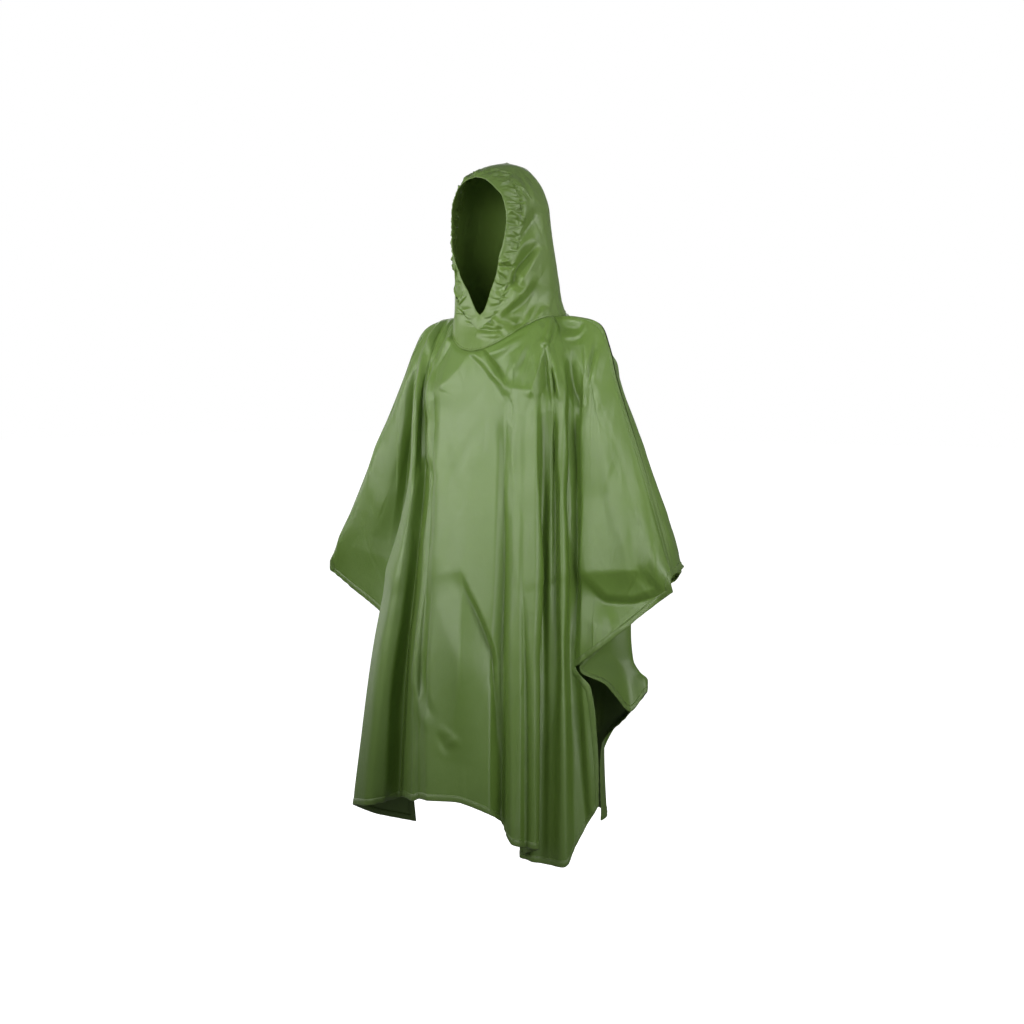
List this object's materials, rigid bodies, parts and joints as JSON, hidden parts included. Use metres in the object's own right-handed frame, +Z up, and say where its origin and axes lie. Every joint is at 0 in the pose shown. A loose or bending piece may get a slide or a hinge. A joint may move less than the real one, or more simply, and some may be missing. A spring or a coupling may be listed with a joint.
{
  "type": "hooded rain poncho",
  "caption": "Loose hooded rain poncho of thin coated cloth, worn shape without a wearer: cape front and back with wide sleeves, gathered face opening, uneven hem.",
  "frame": {"origin": "In the neck opening at the height of the shoulders, where the wearer's shoulders carry the poncho.", "axes": "+Z up, the wearer faces -Y, and the wearer's left is +X"},
  "size_m": [0.8646, 0.4464, 1.3423],
  "materials": {
    "coated_body_cloth": "satin coated nylon, olive green",
    "coated_hood_cloth": "satin coated nylon, olive green",
    "gathered_channel_cloth": "satin coated nylon, gathered"
  },
  "bodies": {
    "root": {"front_panel": "coated_body_cloth", "back_panel": "coated_body_cloth", "hood_left": "coated_hood_cloth", "hood_right": "coated_hood_cloth", "face_channel": "gathered_channel_cloth"}
  },
  "joints": []
}
